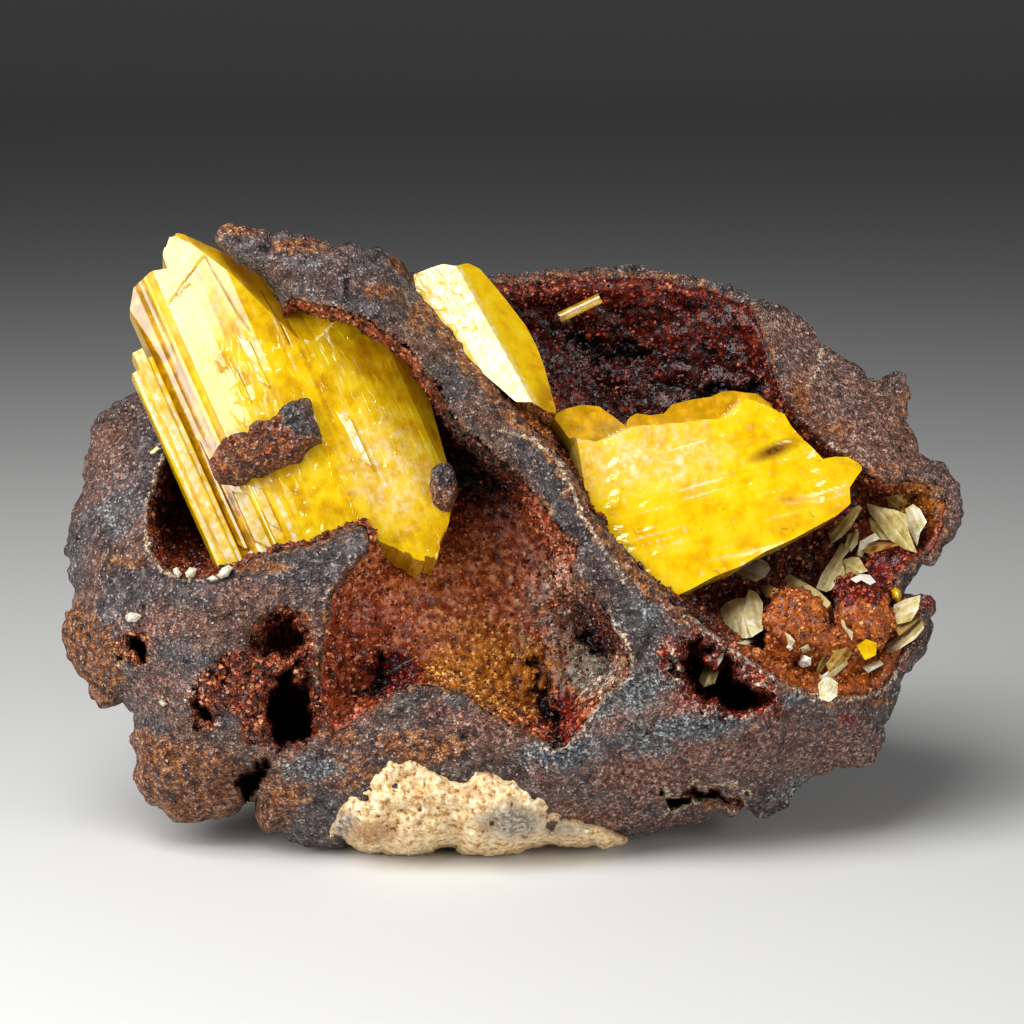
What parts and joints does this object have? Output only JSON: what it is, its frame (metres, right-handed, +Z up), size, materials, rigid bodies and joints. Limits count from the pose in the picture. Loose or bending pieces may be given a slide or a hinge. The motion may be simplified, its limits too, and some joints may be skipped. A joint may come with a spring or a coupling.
{
  "type": "legrandite mineral specimen",
  "caption": "Yellow legrandite crystals in the hollows of a dark brown goethite gossan on a pale host rock, a free-standing cabinet specimen",
  "frame": {"origin": "on the surface that the specimen rests on, under the middle of its bounding box", "axes": "+Z up; +X to the right as seen from the front, along the longest side; the crystals face -Y"},
  "size_m": [0.0902, 0.0461, 0.0611],
  "materials": {
    "goethite": "dark broken goethite with a dull semi-metallic sheen",
    "limestone": "rough cream host rock with orange iron stains",
    "druse": "red-brown sparkling druse of tiny crystals",
    "goethite_chip": "rusty lumpy goethite",
    "legrandite": "bright yellow clear to cloudy crystal with length-wise striations",
    "cream_blade": "cream pearly blades"
  },
  "bodies": {
    "root": {"gossan_matrix": "goethite", "pale_host_rock": "limestone", "back_vug_druse": "druse", "front_vug_druse": "druse", "chip_on_face": "goethite_chip", "chip_on_edge": "goethite_chip", "legrandite_large": "legrandite", "legrandite_centre": "legrandite", "legrandite_plate": "legrandite", "legrandite_rod": "legrandite", "legrandite_bud": "legrandite", "legrandite_grain": "legrandite", "cream_blade_cup": "cream_blade", "cream_blade_disc": "cream_blade", "cream_blade_fan": "cream_blade", "cream_blade_foot": "cream_blade", "cream_blade_front": "cream_blade", "cream_blade_left": "cream_blade", "cream_blade_lower": "cream_blade", "cream_blade_middle": "cream_blade", "cream_blade_pocket": "cream_blade", "cream_blade_right": "cream_blade", "cream_blade_tan": "cream_blade", "cream_blade_upper": "cream_blade", "cream_blade_wedge": "cream_blade"}
  },
  "joints": []
}
